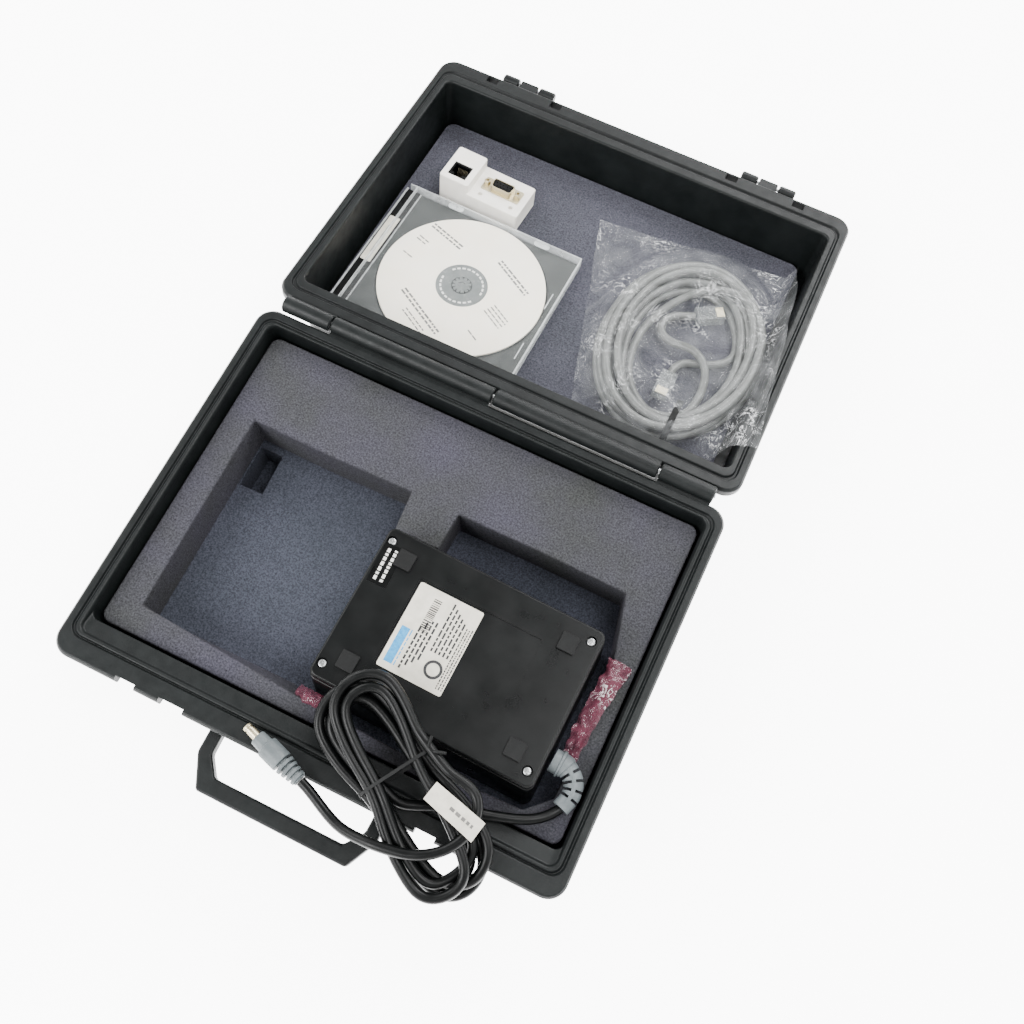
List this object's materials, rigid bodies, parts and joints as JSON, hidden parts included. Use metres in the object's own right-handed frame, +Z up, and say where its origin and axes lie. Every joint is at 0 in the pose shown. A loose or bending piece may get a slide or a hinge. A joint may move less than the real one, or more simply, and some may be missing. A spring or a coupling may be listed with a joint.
{
  "type": "instrument_case_kit",
  "caption": "Open hard carrying case with foam inserts holding a power unit with coiled lead, a disc in a hinged box, a serial to network adapter and a bagged network cable",
  "frame": {"origin": "centre of the base shell's underside, on the surface the case stands on", "axes": "+X along the hinge, to the right seen from the front; +Y from the front towards the hinge and the opened lid; +Z up"},
  "size_m": [0.33, 0.5568, 0.1145],
  "materials": {
    "case_plastic": "moulded",
    "steel": "satin",
    "gold": "satin",
    "foam": "open cell foam",
    "unit_plastic": "fine texture",
    "rubber": "matt",
    "paper": "paper",
    "board": "solder mask",
    "winding": "varnished",
    "grey_moulding": "moulded",
    "cord": "glossy",
    "pink_film": "antistatic film",
    "clear_plastic": "clear",
    "tray_plastic": "moulded",
    "disc": "printed",
    "white_plastic": "fine texture",
    "grey_cable": "satin"
  },
  "bodies": {
    "base": {"base_shell": "case_plastic", "base_foam_upper": "foam", "base_foam_lower": "foam", "hinge_pin": "steel", "handle_pin_left": "steel", "handle_pin_right": "steel", "film_wad_left": "pink_film", "film_wad_right": "pink_film"},
    "carry_handle": {"handle": "case_plastic"},
    "power_unit": {"power_unit_case": "unit_plastic", "power_unit_cover": "unit_plastic", "power_unit_foot_1": "rubber", "power_unit_foot_2": "rubber", "power_unit_foot_3": "rubber", "power_unit_foot_4": "rubber", "power_unit_screw_1": "steel", "power_unit_screw_2": "steel", "power_unit_screw_3": "steel", "power_unit_screw_4": "steel", "power_unit_label": "paper", "power_unit_board": "board", "transformer": "winding", "capacitor_1": "unit_plastic", "capacitor_2": "unit_plastic", "heat_sink": "steel", "mains_inlet": "unit_plastic", "strain_relief": "grey_moulding", "output_cord": "cord", "cord_hank": "cord", "output_cord_end": "cord", "cord_tie": "rubber", "cord_tag": "paper", "output_plug": "grey_moulding", "output_plug_tip": "steel"},
    "lid": {"lid_shell": "case_plastic", "lid_foam_sheet": "foam", "latch_left_pin": "steel", "latch_right_pin": "steel"},
    "left_latch": {"latch_left": "case_plastic"},
    "right_latch": {"latch_right": "case_plastic"},
    "disc_box": {"disc_case_base": "clear_plastic", "disc_case_tray": "tray_plastic", "disc": "disc", "spine_sticker": "paper"},
    "disc_box_lid": {"disc_case_lid": "clear_plastic"},
    "adapter": {"adapter_case": "white_plastic", "adapter_floor": "white_plastic", "adapter_board": "board", "network_jack": "unit_plastic", "serial_port_shell": "steel", "serial_port_insert": "unit_plastic", "jack_screw_left": "gold", "jack_screw_right": "gold"},
    "bagged_cable": {"lan_cable_coil": "grey_cable", "lan_cable_tail": "grey_cable", "lan_plug": "clear_plastic", "lan_plug_far": "clear_plastic", "coil_tie": "rubber", "cable_bag": "clear_plastic"}
  },
  "joints": [
    {"name": "lid_hinge", "type": "hinge", "parent": "base", "child": "lid", "pos_m": [0, 0.1328, 0.082], "axis": [1, 0, 0], "range_deg": [0, 166]},
    {"name": "handle_swing", "type": "hinge", "parent": "base", "child": "carry_handle", "pos_m": [0, -0.118, 0.0665], "axis": [1, 0, 0], "range_deg": [0, 86]},
    {"name": "latch_left_swing", "type": "hinge", "parent": "lid", "child": "left_latch", "pos_m": [-0.0975, 0.39335, 0.03981], "axis": [1, 0, 0], "range_deg": [0, 110]},
    {"name": "latch_right_swing", "type": "hinge", "parent": "lid", "child": "right_latch", "pos_m": [0.0975, 0.39335, 0.03981], "axis": [1, 0, 0], "range_deg": [0, 110]},
    {"name": "power_unit_lift", "type": "slide", "parent": "base", "child": "power_unit", "axis": [0, 0, -1], "range_m": [-0.06, 0]},
    {"name": "disc_box_lift", "type": "slide", "parent": "lid", "child": "disc_box", "axis": [0, -0.1426, -0.9898], "range_m": [-0.06, 0]},
    {"name": "disc_box_hinge", "type": "hinge", "parent": "disc_box", "child": "disc_box_lid", "pos_m": [-0.13879, 0.21868, 0.0383], "axis": [0.0157, 0.9897, -0.1426], "range_deg": [-85, 0]},
    {"name": "adapter_lift", "type": "slide", "parent": "lid", "child": "adapter", "axis": [0, -0.1426, -0.9898], "range_m": [-0.06, 0]},
    {"name": "bagged_cable_lift", "type": "slide", "parent": "lid", "child": "bagged_cable", "axis": [0, -0.1426, -0.9898], "range_m": [-0.06, 0]}
  ]
}
